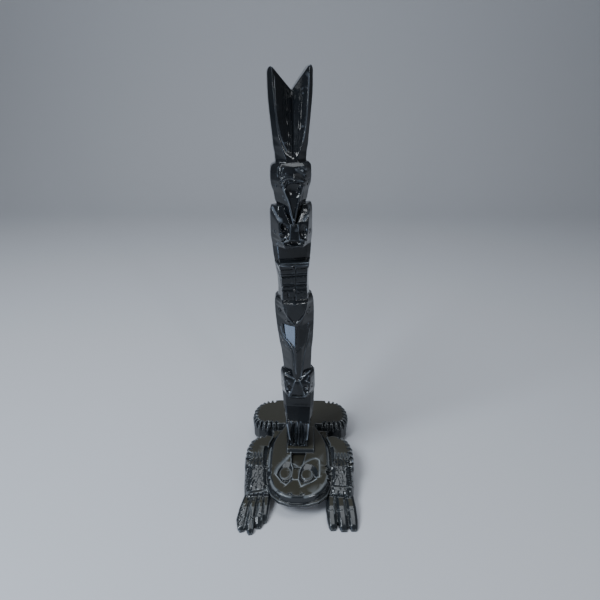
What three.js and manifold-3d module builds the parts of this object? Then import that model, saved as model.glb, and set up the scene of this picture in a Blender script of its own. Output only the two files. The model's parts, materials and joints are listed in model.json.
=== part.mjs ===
// A small carved totem pole in black lacquered wood: a pole of stacked figures that stands
// on the back of a crouching four-legged creature.
// Millimetres. X is to the viewer's right, Y to the back, Z up; the figures look along -Y.

import * as THREE from 'three';
import { mergeVertices } from 'three/addons/utils/BufferGeometryUtils.js';
import { LoftGeometry } from 'three/addons/geometries/LoftGeometry.js';
import Module from 'manifold-3d';

const wasm = await Module();
wasm.setup();

// The blank that the pole is carved from
const poleWidth = 36.6;
const poleDepth = 32;

// Heights of the pole's figures, from the foot up
const lowerLegsHeight = 33;
const lowerThroatHeight = 29.5;
const lowerFaceHeight = 27;
const bodyShowsHeight = 44.2;
const birdHeadHeight = 38;
const upperLegsHeight = 34;
const upperThroatHeight = 15;
const upperFaceHeight = 36;
const topHeadShowsHeight = 34;
const tailHeight = 70.5;
const tailNotchDepth = 17.5;
const tailValleyRightOfAxis = 2;

// How deep the next figure sits between the ears of each face
const lowerEarNotch = 7;
const upperEarNotch = 15;

// The lower face is a little slimmer than the upper one
const lowerFlankShare = 0.945;

// The carver's drift: the pole leans and turns a little from the foot to the top
const leanAtTop = 6.4;
const turnAtFoot = -3;
const turnAtTop = 10;
const rollAtTop = 2.5;

// The creature
const creatureLength = 168;
const creatureWidth = 116;
const backHeight = 28;
const fringePitch = 6;
const fringeCutWidth = 3.6;
const fringeCutDepth = 3;
const fringeCutReach = 6;
const fringeCutFall = 11;
const fringeBevel = 4;

// The seat on the creature's back that the pole stands on
const seatRise = 3;
const seatMargin = 2.4;
const seatBevel = 2.6;
const seatRightOfPole = 2.1;
const seatClearance = 0.3;
const poleFrontFromCentre = -0.8;
const poleLeftOfCentre = 1.2;

// Drilled pupils
const pupilDiameter = 1.8;
const pupilDepth = 2;

// Sizes that the figures are drawn at before they are fitted to the values above
const drawnPoleWidth = 36.6;
const drawnPoleDepth = 32;
const drawnFront = 17;
const drawnFootHalf = 11.8;
const drawnFaceHeight = 36;
const drawnTail = 70.5;
const drawnLength = 168;
const drawnWidth = 116;
const drawnBack = 28;
const drawnHeadHalf = 28.5;
const drawnNose = 59;

// Turns a closed geometry into a solid that can be joined and cut
function solid(geometry) {
  geometry.deleteAttribute('normal');
  geometry.deleteAttribute('uv');
  const merged = mergeVertices(new THREE.BufferGeometry().copy(geometry), 1e-4);
  return new wasm.Manifold(new wasm.Mesh({
    numProp: 3,
    vertProperties: new Float32Array(merged.attributes.position.array),
    triVerts: new Uint32Array(merged.index.array),
  }));
}

// Turns a finished solid back into a geometry
function geometryOf(body) {
  const mesh = body.getMesh();
  const geometry = new THREE.BufferGeometry();
  geometry.setAttribute('position', new THREE.BufferAttribute(mesh.vertProperties, 3));
  geometry.setIndex(new THREE.BufferAttribute(mesh.triVerts, 1));
  return geometry;
}

const join = (bodies) => bodies.reduce((whole, body) => whole.add(body));
const carve = (block, cuts) => cuts.reduce((left, cut) => left.subtract(cut), block);

function shapeOf(points) {
  return new THREE.Shape(points.map(([across, up]) => new THREE.Vector2(across, up)));
}

const extruded = (points, depth) => (
  new THREE.ExtrudeGeometry(shapeOf(points), { depth, bevelEnabled: false })
);

// A full outline from its right half, both ends on the centre line
function bothHalves(right) {
  const left = right.filter(([across]) => across !== 0).map(([across, other]) => [-across, other]);
  return [...right, ...left.reverse()];
}

// The drawing tools of one figure: each solid is drawn in the figure's own millimetres,
// then scaled and set at its place
function toolsFor({ wide = 1, deep = 1, tall = 1, foot = 0 }) {
  const placed = (geometry) => solid(geometry.scale(wide, deep, tall).translate(0, 0, foot));

  // Outline seen from the front, as [x, z], from one depth to another
  const front = (points, yFront, yBack) => placed(
    extruded(points, yBack - yFront).rotateX(Math.PI / 2).translate(0, yBack, 0),
  );

  // Outline seen from the side, as [y, z], from one x to another
  const side = (points, xLeft, xRight) => placed(
    extruded(points, xRight - xLeft).rotateX(Math.PI / 2).rotateZ(Math.PI / 2).translate(xLeft, 0, 0),
  );

  // Outline seen from above, as [x, y], from one height to another
  const plan = (points, zLow, zHigh) => placed(
    extruded(points, zHigh - zLow).translate(0, 0, zLow),
  );

  const loft = (sections) => placed(new LoftGeometry(
    sections.map((section) => section.map((point) => new THREE.Vector3(...point))),
    { closed: true, capStart: true, capEnd: true },
  ));

  const ball = ([x, y, z], [rx, ry, rz]) => placed(
    new THREE.SphereGeometry(1, 12, 8).rotateX(Math.PI / 2).scale(rx, ry, rz).translate(x, y, z),
  );

  // A cone or a round plug standing up from a point, its half widths below and above
  const cone = ([x, y, z], [lowX, lowY], [highX, highY], height) => {
    const ring = Array.from({ length: 16 }, (_, n) => [Math.cos(n * Math.PI / 8), Math.sin(n * Math.PI / 8)]);
    return loft([
      ring.map(([c, r]) => [x + lowX * c, y + lowY * r, z]),
      ring.map(([c, r]) => [x + highX * c, y + highY * r, z + height]),
    ]);
  };

  // A stretched solid between two points, its width across and its depth along outward
  const between = (unit, from, to, width, depth, outward) => {
    const start = new THREE.Vector3(...from);
    const along = new THREE.Vector3(...to).sub(start);
    const middle = start.addScaledVector(along, 0.5);
    const across = new THREE.Vector3().crossVectors(along, new THREE.Vector3(...outward)).normalize();
    const up = new THREE.Vector3().crossVectors(across, along).normalize();
    const turn = new THREE.Matrix4().makeBasis(
      across.multiplyScalar(width / 2), along.multiplyScalar(0.5), up.multiplyScalar(depth),
    );
    return placed(unit.applyMatrix4(turn).translate(middle.x, middle.y, middle.z));
  };

  // A knife cut with pointed ends
  const chip = (from, to, width, depth, outward) => (
    between(new THREE.OctahedronGeometry(1), from, to, width, depth, outward)
  );

  // A V groove of even width
  const groove = (from, to, width, depth, outward) => (
    between(new THREE.CylinderGeometry(1, 1, 2, 4), from, to, width, depth, outward)
  );

  // A drilled hole or a round peg
  const drill = (from, to, diameter) => (
    between(new THREE.CylinderGeometry(1, 1, 2, 10), from, to, diameter, diameter / 2, [0, 0, 1])
  );

  return { front, side, plan, loft, ball, cone, chip, groove, drill };
}

// One figure of the pole, drawn at drawnHeight and standing at foot
const poleTools = (foot, height, drawnHeight) => toolsFor({
  wide: poleWidth / drawnPoleWidth,
  deep: poleDepth / drawnPoleDepth,
  tall: height / drawnHeight,
  foot,
});

// One level of the pole: how far the front stands out on the centre line, the front
// corner's half width and reach, the flank's half width, then the rounded back
function poleLevel([z, reach, cornerHalf, cornerReach, flank, back = 15]) {
  return bothHalves([
    [0, -reach],
    [cornerHalf, -cornerReach],
    [flank, -2],
    [flank, 5],
    [flank * 0.8, back * 0.78],
    [flank * 0.42, back * 0.97],
    [0, back],
  ]).map(([x, y]) => [x, y, z]);
}

const bothSides = (make) => [make(-1), make(1)];

// The lower figure's legs: two shins with a slim pair of strips between them
function lowerLegs(foot) {
  const { loft, ball, groove, front } = poleTools(foot, lowerLegsHeight, 33);
  const block = loft([
    [0, 16.4, 10.6, 16, drawnFootHalf, 13],
    [8, 16.6, 10.8, 16, 12, 13.5],
    [18, 16.6, 11.2, 16, 12.8, 14],
    [26, 16.2, 12, 15.4, 13.8],
    [31, 14.8, 12.2, 13.8, 14.6],
    [33.4, 13, 12, 12, 15.2],
  ].map(poleLevel));
  const upToKnees = front([[-19, 0], [19, 0], [19, 30], [-19, 30]], -20, 0);
  const shins = bothSides((s) => ball([s * 8.9, -14, 14], [3.2, 3.5, 17]).intersect(upToKnees));
  const channels = bothSides((s) => front(
    [[s * 2.6, 1.5], [s * 6, 1.5], [s * 6.4, 27], [s * 2.4, 30.5]], -20, -13.4,
  ));
  const split = groove([0, -16.8, -1], [0, -16.8, 29], 1.6, 2.2, [0, -1, 0]);
  const toes = bothSides((s) => groove([s * 8.6, -16.4, -1], [s * 8.8, -16.4, 10], 1.6, 1.8, [0, -1, 0]));
  return carve(join([block, ...shins]), [...channels, split, ...toes]);
}

// The neck that the muzzle overhangs, hollowed from the chest up to the underside of the muzzle
function throat(foot, height, lowReach, lowFlank, highFlank) {
  const { loft } = poleTools(foot, height, 10);
  return loft([
    [-0.2, lowReach, 12, lowReach - 0.6, lowFlank],
    [1.2, (lowReach + 5.4) / 2, 12.2, (lowReach + 5) / 2, lowFlank],
    [4, 5.6, 12.4, 5.4, (lowFlank + highFlank) / 2],
    [10.4, 5.4, 12.8, 5.2, highFlank],
  ].map(poleLevel));
}

// A bear-like face: ears at the outer corners, sloping cheeks, an eye scoop on each side
// of the nose, and an open mouth above the lip
function bearFace(foot, height, earNotch, flankShare = 1) {
  const { loft, ball, chip, front, drill } = poleTools(foot, height, drawnFaceHeight);
  const flankAt = (half) => half * flankShare;
  const block = loft([
    [0, 16.4, 7.5, 16.2, flankAt(17.2)],
    [2.5, 17, 8.5, 16.8, flankAt(17.6)],
    [8, 17, 11, 15.8, flankAt(18.3)],
    [14, 16.6, 12.4, 14.8, flankAt(18.3)],
    [22, 16, 13, 14, flankAt(18.3)],
    [29, 14.5, 13, 12.6, flankAt(18.3)],
    [33, 13, 12.6, 11.4, flankAt(18)],
    [36, 11, 12, 9.5, flankAt(17)],
  ].map(poleLevel));
  const notchFoot = 36 - earNotch * drawnFaceHeight / height;
  const notch = front([[-9.4, 37.5], [-2.8, notchFoot], [2.8, notchFoot], [9.4, 37.5]], -20, -5);
  const backStep = front([[-19, 31], [19, 31], [19, 38], [-19, 38]], 1.5, 20);
  const scoops = bothSides((s) => ball([s * 8.8, -17, 14.6], [4.4, 3.8, 6]));
  const eyes = bothSides((s) => ball([s * 9.4, -13.4, 14], [2.7, 2.3, 3.3]));
  const lids = bothSides((s) => chip([s * 3.6, -17.2, 11], [s * 14.8, -12.4, 3.2], 2.6, 2, [s * 0.3, -1, 0]));
  const brows = bothSides((s) => chip([s * 4.6, -17.4, 22.5], [s * 14, -13.8, 18], 2, 1.4, [s * 0.3, -1, 0]));
  const nose = bothSides((s) => chip([s * 4.4, -17.4, 20], [s * 5.6, -17.4, 6.5], 1.8, 1.2, [0, -1, 0]));
  const mouth = ball([0, -17.6, 5], [6.6, 2.8, 1.9]);
  const pupils = bothSides((s) => drill(
    [s * flankAt(18.4), -11.4, 13.6], [s * flankAt(16.2 - pupilDepth), -8.6, 13.6], pupilDiameter,
  ));
  return carve(join([carve(block, [notch, backStep, ...scoops]), ...eyes]), [
    ...lids, ...brows, ...nose, mouth, ...pupils,
  ]);
}

// A bird's body with a keel down the breast and a folded wing on each side
function birdBody(tip, top) {
  const { loft, front } = poleTools(tip, top - tip, 52);
  const levels = [
    [-12, 10, 6, 9, 13],
    [0, 13, 3.6, 11.6, 13.3],
    [12, 13.6, 4, 11.6, 13.5],
    [24, 14.4, 4.4, 11.8, 14.2],
    [32, 15, 5, 12, 14.8],
    [40, 15.4, 5.6, 12, 16],
    [52, 15.4, 5.6, 12, 17],
    [60, 14, 5, 12, 17.6],
  ];
  const wingThickness = 1.2;
  const grown = levels.map(([z, reach, corner, cornerReach, flank]) => (
    [z, reach + wingThickness, corner, cornerReach + wingThickness, flank + 0.3]
  ));
  const breast = loft(levels.map(poleLevel));
  const leftWing = [[-20, 61], [-14.6, 58], [-10.2, 46], [-3.8, 33], [-1, 3], [-1.6, -13], [-20, -13]];
  const rightWing = [[20, 61], [20, -13], [3.6, -13], [4.2, 3], [8.4, 33], [12.8, 57]];
  const wings = [leftWing, rightWing].map((outline) => (
    loft(grown.map(poleLevel)).intersect(front(outline, -20, 4))
  ));
  return join([breast, ...wings]);
}

// A bird's head seen from the front: a beak like a shield that points down, with drilled eyes
function birdHead(foot) {
  const { loft, front, drill } = poleTools(foot, birdHeadHeight, 38);
  const block = loft([
    [0, 12.6, 6, 11.2, 17.4],
    [8, 13.4, 6, 11.6, 17.8],
    [10.5, 14, 6, 11.8, 18],
    [20, 15, 8.2, 12.6, 18.4],
    [30, 15, 10.8, 12.6, 18.4],
    [34, 15, 12, 12.2, 18],
    [37, 13.2, 12, 11, 17],
    [38, 12.4, 11.6, 10.4, 16],
  ].map(poleLevel));
  const shield = loft([
    [10.6, 13.8, 1.4, 12.4, 3],
    [12, 17, 1.8, 16.6, 3],
    [15, 17.2, 4.6, 16.2, 6],
    [20, 17, 7.6, 15.6, 9],
    [27, 16.6, 10.2, 14.4, 11.6],
    [33.4, 16.4, 12, 13.2, 13.4],
    [37.6, 13.4, 12.2, 11, 13.6],
  ].map(poleLevel));
  const hollow = front([
    [0, 14], [3.6, 16.4], [6.8, 21], [9, 27], [10.2, 32.4], [-10.2, 32.4], [-9, 27], [-6.8, 21], [-3.6, 16.4],
  ], -20, -15.2);
  const eyes = bothSides((s) => drill(
    [s * 17.6, -12.4, 26.5], [s * (15.2 - pupilDepth), -8, 26.5], pupilDiameter,
  ));
  return carve(join([block, shield]), [hollow, ...eyes]);
}

// The upper figure's legs: knees as a ledge, a deep split, two bands and the toes
function upperLegs(foot) {
  const { loft, groove } = poleTools(foot, upperLegsHeight, 34);
  const block = loft([
    [-0.5, 14, 11.4, 14, 14.6],
    [7.5, 13.4, 11.2, 13.4, 14.1],
    [9, 12.6, 11.2, 12.6, 14],
    [19, 12.6, 11.6, 12.6, 14.2],
    [28, 12.8, 12.2, 12.8, 15.4],
    [29.8, 14.8, 12.8, 14.6, 15.7],
    [33, 15, 13.4, 14.8, 16],
    [34.2, 14, 13.2, 13.8, 16.1],
  ].map(poleLevel));
  const split = groove([0, -14.6, -1], [0, -15, 32.5], 1.8, 4, [0, -1, 0]);
  const bands = [12.5, 21.5].map((z) => groove([-14, -12.4, z], [14, -12.4, z], 1.8, 1.3, [0, -1, 0]));
  const toeLines = [3.4, 6.2, 9].flatMap((x) => (
    bothSides((s) => groove([s * x, -13.4, -1], [s * x, -13.2, 7.5], 1.2, 1.2, [0, -1, 0]))
  ));
  return carve(block, [split, ...bands, ...toeLines]);
}

// The top bird's head, a wedge that narrows down to the tip of its beak between the ears below
function topHead(tip, crown) {
  const { loft, front, drill, chip } = poleTools(tip, crown - tip, 52);
  const block = loft([
    [0, 17, 0.7, 16.8, 1.4],
    [8, 17.1, 2.4, 16.6, 6.6],
    [16, 17, 3.8, 16.2, 11.8],
    [20, 16.9, 4.6, 15.9, 13.7],
    [28, 16.6, 6.6, 15, 15],
    [33, 16.4, 8.4, 14.5, 16.7],
    [38, 16.1, 9.8, 14, 17.3],
    [44, 14.8, 10.6, 12.8, 17.3],
    [49, 12.2, 10.4, 10.2, 16.8],
    [51.5, 9.6, 8.6, 8.4, 14.6],
  ].map(poleLevel));
  const hollow = front([[0, 3], [1.6, 12], [5, 27], [6.4, 36], [-6.4, 36], [-5, 27], [-1.6, 12]], -20, -14.4);
  const feathers = bothSides((s) => join([0, 1, 2, 3, 4].map((n) => {
    const z = 29 + 4 * n;
    return chip([s * 5.6, -17.2, z + 2.8], [s * 13, -9.6, z - 1.2], 2, 1.8, [s * 0.5, -0.9, 0.1]);
  })));
  const eyes = bothSides((s) => drill(
    [s * 15.6, -10, 33.5], [s * (14 - pupilDepth), -7, 33.5], pupilDiameter,
  ));
  return carve(block, [hollow, ...feathers, ...eyes]);
}

// The twin tail blades: an open-book hollow in front and a V notch at the top
function tail(foot) {
  const { loft, front } = poleTools(foot, tailHeight, drawnTail);
  const notchFoot = drawnTail * (1 - tailNotchDepth / tailHeight);
  const valleyRight = tailValleyRightOfAxis * drawnPoleWidth / poleWidth;
  const block = loft([
    [-3, 9, 7, 8.4, 12.8, 14.6],
    [2, 8, 4.4, 8.2, 12.8, 14.4],
    [8, 6.6, 6.6, 8.2, 13.3, 14.2],
    [13, 5.2, 8.6, 8, 14.2, 14],
    [20, 3, 10.6, 7.8, 14.8, 13.8],
    [29, 0.2, 11.8, 7.4, 15.7, 13.5],
    [38, -2, 12.6, 7.1, 16.6, 13.2],
    [48, -4, 13.4, 6.7, 17.4, 12.8],
    [56, -5, 14, 6.4, 17.7, 12.6],
    [drawnTail, -6, 14.6, 6, 17.7, 12],
  ].map(poleLevel).map(([[, y, z], ...rest]) => [[valleyRight, y, z], ...rest]));
  const tips = front([
    [valleyRight, notchFoot], [13.4, 69], [14.8, 70.2], [16.2, 70], [17.3, 68.4], [18, 65], [19, 30],
    [19, -4], [-19, -4], [-19, 30], [-18, 65], [-17.3, 68.4], [-16.2, 70], [-14.8, 70.2], [-13.4, 69],
  ], -20, 20);
  return block.intersect(tips);
}

// Heights of the joins between the figures
const lowerFaceFoot = lowerLegsHeight + lowerThroatHeight;
const lowerEarTops = lowerFaceFoot + lowerFaceHeight;
const birdHeadFoot = lowerEarTops + bodyShowsHeight;
const birdBodyTip = lowerEarTops - lowerEarNotch - 1;
const upperLegsFoot = birdHeadFoot + birdHeadHeight;
const upperThroatFoot = upperLegsFoot + upperLegsHeight;
const upperFaceFoot = upperThroatFoot + upperThroatHeight;
const crownHeight = upperFaceFoot + upperFaceHeight + topHeadShowsHeight;
const beakTip = upperFaceFoot + upperFaceHeight - upperEarNotch - 1;
const poleHeight = crownHeight + tailHeight;

// The lean and the turn grow smoothly from just above the foot to three quarters of the height
function drift(geometry) {
  const position = geometry.attributes.position;
  for (let i = 0; i < position.count; i += 1) {
    const x = position.getX(i);
    const y = position.getY(i);
    const z = position.getZ(i);
    const share = THREE.MathUtils.smoothstep(z, 0.08 * poleHeight, 0.7 * poleHeight);
    const turn = THREE.MathUtils.degToRad(THREE.MathUtils.lerp(turnAtFoot, turnAtTop, share));
    const roll = THREE.MathUtils.degToRad(rollAtTop * share);
    position.setXYZ(
      i,
      x * Math.cos(turn) - y * Math.sin(turn) - leanAtTop * share,
      x * Math.sin(turn) + y * Math.cos(turn),
      z + x * Math.sin(roll),
    );
  }
  return geometry;
}

function totemPole() {
  const pole = join([
    lowerLegs(0),
    throat(lowerLegsHeight, lowerThroatHeight, 14, 15, 16.6),
    bearFace(lowerFaceFoot, lowerFaceHeight, lowerEarNotch, lowerFlankShare),
    birdBody(birdBodyTip, birdHeadFoot),
    birdHead(birdHeadFoot),
    upperLegs(upperLegsFoot),
    throat(upperThroatFoot, upperThroatHeight, 6, 16.1, 17.4),
    bearFace(upperFaceFoot, upperFaceHeight, upperEarNotch),
    topHead(beakTip, crownHeight),
    tail(crownHeight),
  ]);
  return drift(geometryOf(pole));
}

// A rounded limb that lies on the ground: flat below, its top an arch.
// Each station is [x, y, half width, height].
function limbSections(stations) {
  const arch = [
    [-1, 0], [-1, 0.62], [-0.78, 0.88], [-0.4, 0.99], [0.4, 0.99], [0.78, 0.88], [1, 0.62], [1, 0],
  ];
  return stations.map(([x, y, half, height], n) => {
    const before = stations[Math.max(n - 1, 0)];
    const after = stations[Math.min(n + 1, stations.length - 1)];
    const heading = new THREE.Vector2(after[0] - before[0], after[1] - before[1]).normalize();
    const across = [heading.y, -heading.x];
    return arch.map(([out, up]) => [x + across[0] * out * half, y + across[1] * out * half, up * height]);
  });
}

// V cuts along an outline seen from above, square to it, running out shallow on the top
// and leaving through the side
function fringe(tools, route, top, from, to) {
  const path = new THREE.CatmullRomCurve3(route.map(([x, y]) => new THREE.Vector3(x, y, top)));
  const count = Math.max(1, Math.floor(path.getLength() * (to - from) / fringePitch));
  return Array.from({ length: count }, (_, n) => {
    const share = from + (to - from) * (n + 0.5) / count;
    const at = path.getPointAt(share);
    const run = path.getTangentAt(share);
    const out = new THREE.Vector3(run.y, -run.x, 0).normalize();
    const inner = at.clone().addScaledVector(out, -fringeCutReach);
    const outer = at.clone().addScaledVector(out, 3);
    return tools.groove(
      [inner.x, inner.y, top + fringeCutDepth * 0.95],
      [outer.x, outer.y, top - fringeCutFall],
      fringeCutWidth,
      fringeCutDepth,
      [0, 0, 1],
    );
  });
}

// Right haunch and right shoulder seen from above, and the points that their edges draw in towards
const haunchMiddle = [18, 60];
const haunchOutline = [
  [10, 40], [22, 38.5], [37, 37.5], [47.4, 39.5], [53.6, 45], [56.2, 56], [55, 69], [49.4, 79], [40, 84.4],
  [27, 85.5], [10, 85.5],
];

const shoulderMiddle = [30, -22];
const shoulderOutline = [
  [20, 18], [36, 24.5], [46.6, 22], [53.6, 15], [56.8, 4], [57.2, -10], [56.2, -22], [30, -22],
];

// A limb's thick plate: its foot drawn in, its top edge bevelled for the fringe
function bevelledPlate(tools, outline, [middleX, middleY], s) {
  const levels = [[0, 0.93], [7, 1], [drawnBack - fringeBevel, 1], [drawnBack, 0.91]];
  const sections = levels.map(([z, share]) => outline.map(([x, y]) => (
    [s * (middleX + (x - middleX) * share), middleY + (y - middleY) * share, z]
  )));
  return tools.loft(s > 0 ? sections : sections.map((section) => section.reverse()));
}

function haunch(tools, s) {
  const block = bevelledPlate(tools, haunchOutline, haunchMiddle, s);
  const route = haunchOutline.slice(1, -1).map(([x, y]) => [s * x, y]);
  const path = s > 0 ? route : route.reverse();
  return carve(block, fringe(tools, path, drawnBack, 0.02, 0.98));
}

function shoulder(tools, s) {
  const fallToForearm = tools.side(
    [[-23, -1], [-22, 25.8], [-12, drawnBack], [30, drawnBack], [30, -1]], -60, 60,
  );
  const block = bevelledPlate(tools, [...shoulderOutline].reverse(), shoulderMiddle, s)
    .intersect(fallToForearm);
  const route = shoulderOutline.slice(1, -1).map(([x, y]) => [s * x, y]);
  const path = s > 0 ? route.reverse() : route;
  return carve(block, fringe(tools, path, drawnBack, 0.02, 0.9));
}

// Forearm and hand; each finger is a station list from the wrist to its tip
function arm(tools, s, fingers) {
  const forearm = tools.loft(limbSections([
    [s * 42.6, -12, 14, 28], [s * 42.4, -22, 14, 26], [s * 41.8, -36, 13.6, 21], [s * 40.6, -48.5, 13.2, 16],
  ]));
  const hand = fingers.map((stations) => tools.loft(limbSections(stations)));
  return join([forearm, ...hand]);
}

const leftFingers = [
  [
    [-49, -46, 5.6, 13.5], [-52.4, -60, 5.6, 11.5], [-54.2, -70, 5.2, 8], [-53.4, -77, 3.8, 5],
    [-52.8, -80, 2, 2.6],
  ], [
    [-43, -46, 5.6, 13.5], [-44.6, -60, 4.8, 11.8], [-45.6, -72, 4.4, 8.4], [-44.8, -80, 3.4, 5],
    [-44.4, -82.6, 1.8, 2.6],
  ], [
    [-37, -46, 5.2, 13.5], [-37.2, -60, 4.6, 11.6], [-37.8, -69, 4.2, 8.2], [-37.6, -74, 3.2, 5],
    [-37.4, -76.6, 1.8, 2.6],
  ], [
    [-31.6, -46, 4.6, 13], [-31.8, -58, 3.4, 10.5], [-32.4, -66, 3, 7.4], [-32.8, -70.6, 1.8, 3.4],
  ],
];

const rightFingers = [
  [
    [32, -46, 5.4, 13.5], [31.6, -58, 5.2, 11.5], [32, -68, 4.8, 8], [32.8, -74.4, 4, 5.4],
    [33, -77.2, 2.4, 2.8],
  ], [
    [41, -46, 6, 13.5], [41.4, -58, 5.4, 12], [42.4, -68, 5, 8.6], [42.8, -75.2, 4.2, 5.4],
    [43, -78.2, 2.6, 2.8],
  ], [
    [49.4, -46, 5.6, 13.5], [51, -58, 5.4, 11.5], [52, -68, 4.8, 8.2], [52.2, -74.6, 4, 5.4],
    [52.2, -77.6, 2.6, 2.8],
  ],
];

// Right half of the head and back seen from above, from the nose to the rump
const plateOutline = [
  [0, -drawnNose], [8, -58.6], [16, -55.4], [22.5, -48.5], [27, -36], [drawnHeadHalf, -22],
  [drawnHeadHalf, -4], [27.5, 9],
  [23.5, 22], [17, 35], [16, 44], [16, 83], [0, 83],
];

// One level of the plate: how far it has grown at the sides and where its nose is
function plateLevel([z, grown, nose]) {
  return bothHalves(plateOutline.map(([x, y]) => (
    [x * (1 + grown / drawnHeadHalf), y < 0 ? y * nose / drawnNose : y]
  ))).map(([x, y]) => [x, y, z]);
}

function headAndBack(tools) {
  const plate = tools.loft([
    [0, -2, 36], [6, 1, 44], [14, 3.4, 60], [18.4, 4.6, 61.4], [24.4, 4.2, 61], [drawnBack, 0, 58.4],
  ].map(plateLevel));
  const jawOutline = plateLevel([0, 6.2, 63.6]).map(([x, y]) => [x, y]);
  const aheadOfForearms = tools.plan([[-40, -70], [40, -70], [40, -40], [-40, -40]], 0, 40);
  const jaw = tools.plan(jawOutline, 14.6, 18.4).intersect(aheadOfForearms);
  const slope = tools.side([[-70, 29], [-70, 25.4], [-22, drawnBack + 0.01], [-22, 29]], -40, 40);
  return carve(join([plate, jaw]), [slope]);
}

// The face cut into the top of the head: a forehead recess and two eye sockets,
// with the flat eyes left standing in them
function faceCuts(tools) {
  const forehead = tools.plan([[-9, -2], [-7.6, -22], [-4.6, -28], [1.8, -27.6], [7.6, -2]].reverse(), 20, 30)
    .intersect(tools.side([[-28, 28.4], [-28, 27.2], [-4, 22.6], [-2, 22.6], [-2, 28.4]], -20, 20));
  const leftSocket = [
    [-8.8, -12.5], [-18, -22], [-22.6, -35], [-11.6, -50.5], [-6.9, -43], [-7.2, -27],
  ];
  const rightSocket = [
    [2.5, -25], [0.4, -35], [-0.4, -43.5], [2.6, -51.8], [17.8, -42.6], [20.4, -36],
    [19.6, -15.8], [8.8, -19],
  ];
  const eyes = [[-13.4, -33.6, 6.2, 8.2], [8.2, -35, 6.2, 7.2]];
  const sockets = [leftSocket, rightSocket].map((socket, n) => {
    const [x, y, rx, ry] = eyes[n];
    const bowl = tools.cone([x, y, 25], [rx, ry], [rx * 2.2, ry * 2.2], 3.6);
    const eye = tools.cone([x, y, 20], [rx * 1.08, ry * 1.08], [rx, ry], 7.6);
    return carve(tools.plan(socket, 20, 30).intersect(bowl), [eye]);
  });
  return [forehead, ...sockets];
}

// The pole's seat, sized from the pole's foot
function seat() {
  const half = drawnFootHalf * poleWidth / drawnPoleWidth + seatMargin;
  const middle = seatRightOfPole - poleLeftOfCentre;
  const front = poleFrontFromCentre - seatMargin;
  const back = poleFrontFromCentre + poleDepth + seatMargin / 2;
  const { side } = toolsFor({});
  return side([
    [front - seatBevel, backHeight - 1], [back, backHeight - 1], [back, backHeight + seatRise],
    [front, backHeight + seatRise], [front - seatBevel, backHeight],
  ], middle - half, middle + half);
}

function creature() {
  const tools = toolsFor({
    wide: creatureWidth / drawnWidth,
    deep: creatureLength / drawnLength,
    tall: backHeight / drawnBack,
  });
  const torso = tools.plan([
    [-31, -30], [31, -30], [34, 0], [33, 24], [30, 34], [36, 46], [36, 74], [-36, 74], [-36, 46], [-30, 34],
    [-33, 24], [-34, 0],
  ], 0, 19);
  const gutterOutline = plateLevel([0, 5.2, 62]).map(([x, y]) => [x, y]);
  const gutter = tools.plan(gutterOutline, 19.6, 40);
  const limbs = carve(join([
    ...bothSides((s) => shoulder(tools, s)),
    arm(tools, -1, leftFingers),
    arm(tools, 1, rightFingers),
  ]), [gutter]);
  const body = join([torso, headAndBack(tools), ...bothSides((s) => haunch(tools, s)), limbs]);
  return geometryOf(carve(body, faceCuts(tools)).add(seat()));
}

const lacquer = { color: 0x14171b, roughness: 0.22, metalness: 0 };

const pole = new THREE.Mesh(totemPole(), new THREE.MeshStandardMaterial(lacquer));
pole.name = 'totem_pole';
pole.position.set(
  -poleLeftOfCentre,
  poleFrontFromCentre + drawnFront * poleDepth / drawnPoleDepth,
  backHeight + seatRise + seatClearance,
);

const base = new THREE.Mesh(creature(), new THREE.MeshStandardMaterial({ ...lacquer, roughness: 0.35 }));
base.name = 'creature_base';

// The middle of the outline on the ground is the origin
const totem = new THREE.Group();
totem.add(base, pole);
const outline = new THREE.Box3().setFromObject(totem);
const middle = outline.getCenter(new THREE.Vector3());
base.position.x -= middle.x;
base.position.y -= middle.y;
pole.position.x -= middle.x;
pole.position.y -= middle.y;

export default totem;
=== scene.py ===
import json
import math
from collections import Counter

import bpy
from mathutils import Matrix, Vector
from mathutils.kdtree import KDTree

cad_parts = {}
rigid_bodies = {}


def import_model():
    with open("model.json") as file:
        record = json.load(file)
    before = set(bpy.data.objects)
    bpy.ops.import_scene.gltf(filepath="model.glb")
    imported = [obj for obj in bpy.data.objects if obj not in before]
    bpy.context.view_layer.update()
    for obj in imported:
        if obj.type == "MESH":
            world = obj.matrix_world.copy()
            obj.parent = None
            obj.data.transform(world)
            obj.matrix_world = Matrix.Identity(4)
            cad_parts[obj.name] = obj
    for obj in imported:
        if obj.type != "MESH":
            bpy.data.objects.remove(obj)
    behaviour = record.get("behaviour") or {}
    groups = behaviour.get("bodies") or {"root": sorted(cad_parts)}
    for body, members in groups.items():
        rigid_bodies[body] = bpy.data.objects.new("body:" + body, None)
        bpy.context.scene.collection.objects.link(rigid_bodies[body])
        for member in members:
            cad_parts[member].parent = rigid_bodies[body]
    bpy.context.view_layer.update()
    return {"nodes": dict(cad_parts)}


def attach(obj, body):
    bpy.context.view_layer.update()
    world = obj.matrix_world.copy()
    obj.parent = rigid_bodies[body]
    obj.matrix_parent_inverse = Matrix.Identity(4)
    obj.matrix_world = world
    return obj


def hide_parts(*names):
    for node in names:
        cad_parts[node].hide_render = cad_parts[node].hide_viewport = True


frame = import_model()

# The camera stands close in front of the carving, at the height of the tail blades, and
# looks down at it by 25 degrees.
bpy.ops.object.select_all(action="DESELECT")
bpy.ops.object.camera_add(
    location=(0.0073, -0.3704, 0.3754),
    rotation=(math.radians(65), 0, math.radians(0.9)),
)
camera = bpy.context.active_object
camera.name = "camera"
camera.data.sensor_width = 36
camera.data.lens = 27.06
bpy.context.scene.camera = camera


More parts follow.
